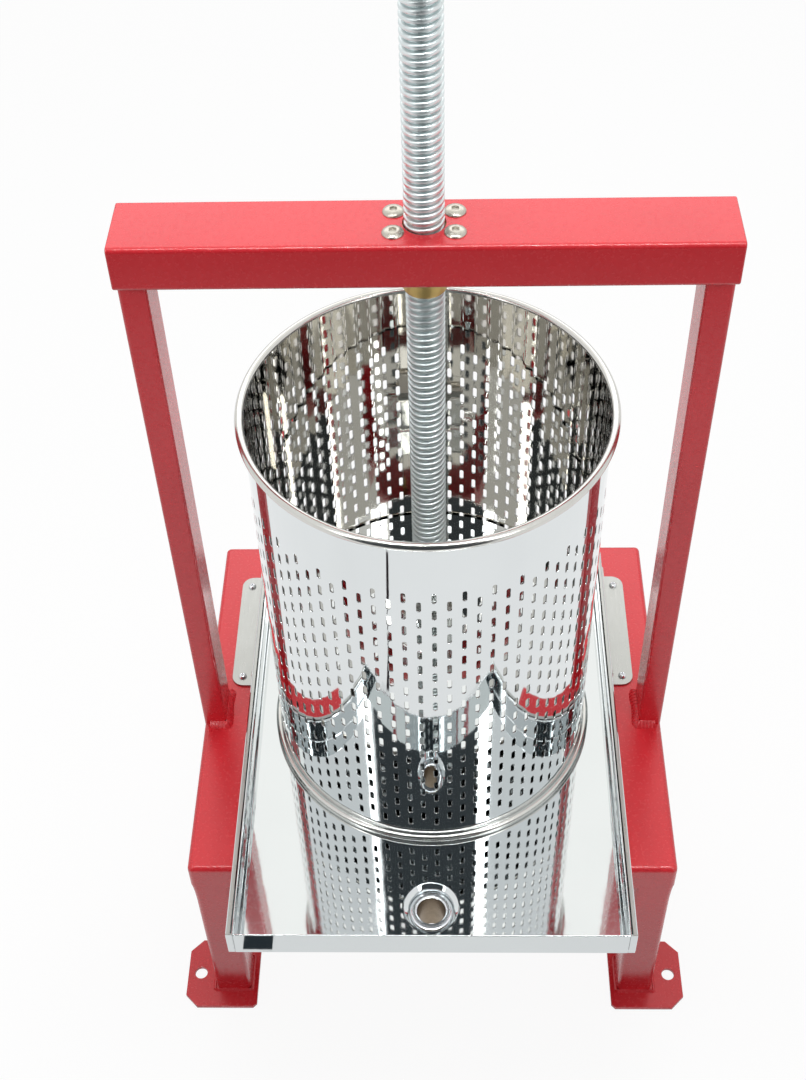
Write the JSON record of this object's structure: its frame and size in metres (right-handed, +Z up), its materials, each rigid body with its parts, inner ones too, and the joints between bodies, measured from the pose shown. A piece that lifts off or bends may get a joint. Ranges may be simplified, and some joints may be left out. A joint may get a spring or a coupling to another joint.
{
  "type": "honey press",
  "caption": "Hand screw honey press: a red welded stand with a steel drip tray, a perforated basket and a press plate under a long screw with a cross handle.",
  "frame": {"origin": "on the floor, midway between the four foot holes", "axes": "+Z up along the screw, +X to the right of someone who faces the drain, +Y to the back"},
  "size_m": [0.345, 0.338, 0.74],
  "materials": {
    "red_paint": "gloss powder coat with a fine texture",
    "polished_sheet": "polished stainless sheet",
    "satin_steel": "satin stainless steel",
    "zinc_steel": "bright zinc plate",
    "brass": "turned, unpolished",
    "black_rubber": "matt"
  },
  "bodies": {
    "frame": {"foot_plate_front_left": "red_paint", "leg_front_left": "red_paint", "rail_cap_front_left": "red_paint", "foot_plate_front_right": "red_paint", "leg_front_right": "red_paint", "rail_cap_front_right": "red_paint", "foot_plate_back_left": "red_paint", "leg_back_left": "red_paint", "rail_cap_back_left": "red_paint", "foot_plate_back_right": "red_paint", "leg_back_right": "red_paint", "rail_cap_back_right": "red_paint", "rail_left": "red_paint", "rail_right": "red_paint", "cross_bar_front": "red_paint", "cross_bar_back": "red_paint", "upright_left": "red_paint", "upright_right": "red_paint", "top_beam": "red_paint", "beam_cap_left": "red_paint", "beam_cap_right": "red_paint", "screw_nut": "brass", "tray": "polished_sheet", "tray_bracket_left": "satin_steel", "tray_bracket_right": "satin_steel", "drain_spout": "satin_steel"},
    "basket": {"basket_wall": "polished_sheet", "basket_rim_bead": "polished_sheet", "basket_foot_bead": "polished_sheet"},
    "press": {"press_plate": "polished_sheet", "keeper_left": "satin_steel", "keeper_right": "satin_steel"},
    "screw": {"press_screw": "zinc_steel", "handle_bar": "zinc_steel", "handle_grip_left": "black_rubber", "handle_grip_right": "black_rubber"}
  },
  "joints": [
    {"name": "press_slide", "type": "slide", "parent": "frame", "child": "press", "axis": [0, 0, 1], "range_m": [-0.08, 0.232]},
    {"name": "screw_turn", "type": "hinge", "parent": "press", "child": "screw", "pos_m": [0, -0.0125, 0.5], "axis": [0, 0, 1], "range_deg": [-7200, 20880]},
    {"name": "basket_lift", "type": "slide", "parent": "frame", "child": "basket", "axis": [0, 0, 1], "range_m": [0, 0.088]}
  ],
  "couplings": [
    {"joint": "press_slide", "follows": "screw_turn", "m_per_rad": 0.00063662}
  ]
}
